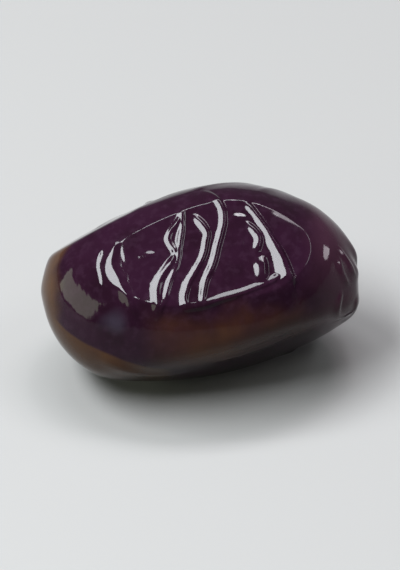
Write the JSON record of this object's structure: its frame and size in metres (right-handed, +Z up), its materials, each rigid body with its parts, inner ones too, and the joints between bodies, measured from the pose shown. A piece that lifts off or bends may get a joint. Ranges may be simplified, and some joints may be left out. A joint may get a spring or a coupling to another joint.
{
  "type": "black olive",
  "caption": "Dry-cured whole black olive, wrinkled and glossy with oil, lying on a small flat spot.",
  "frame": {"origin": "on the surface that the olive rests on, under the middle of its box", "axes": "+X along the fruit towards the scar that the stalk left, +Z up from the resting surface, -Y the side with the large flat patch of folds"},
  "size_m": [0.0274, 0.0168, 0.0169],
  "materials": {
    "olive_skin": null
  },
  "bodies": {
    "root": {"olive": "olive_skin"}
  },
  "joints": []
}
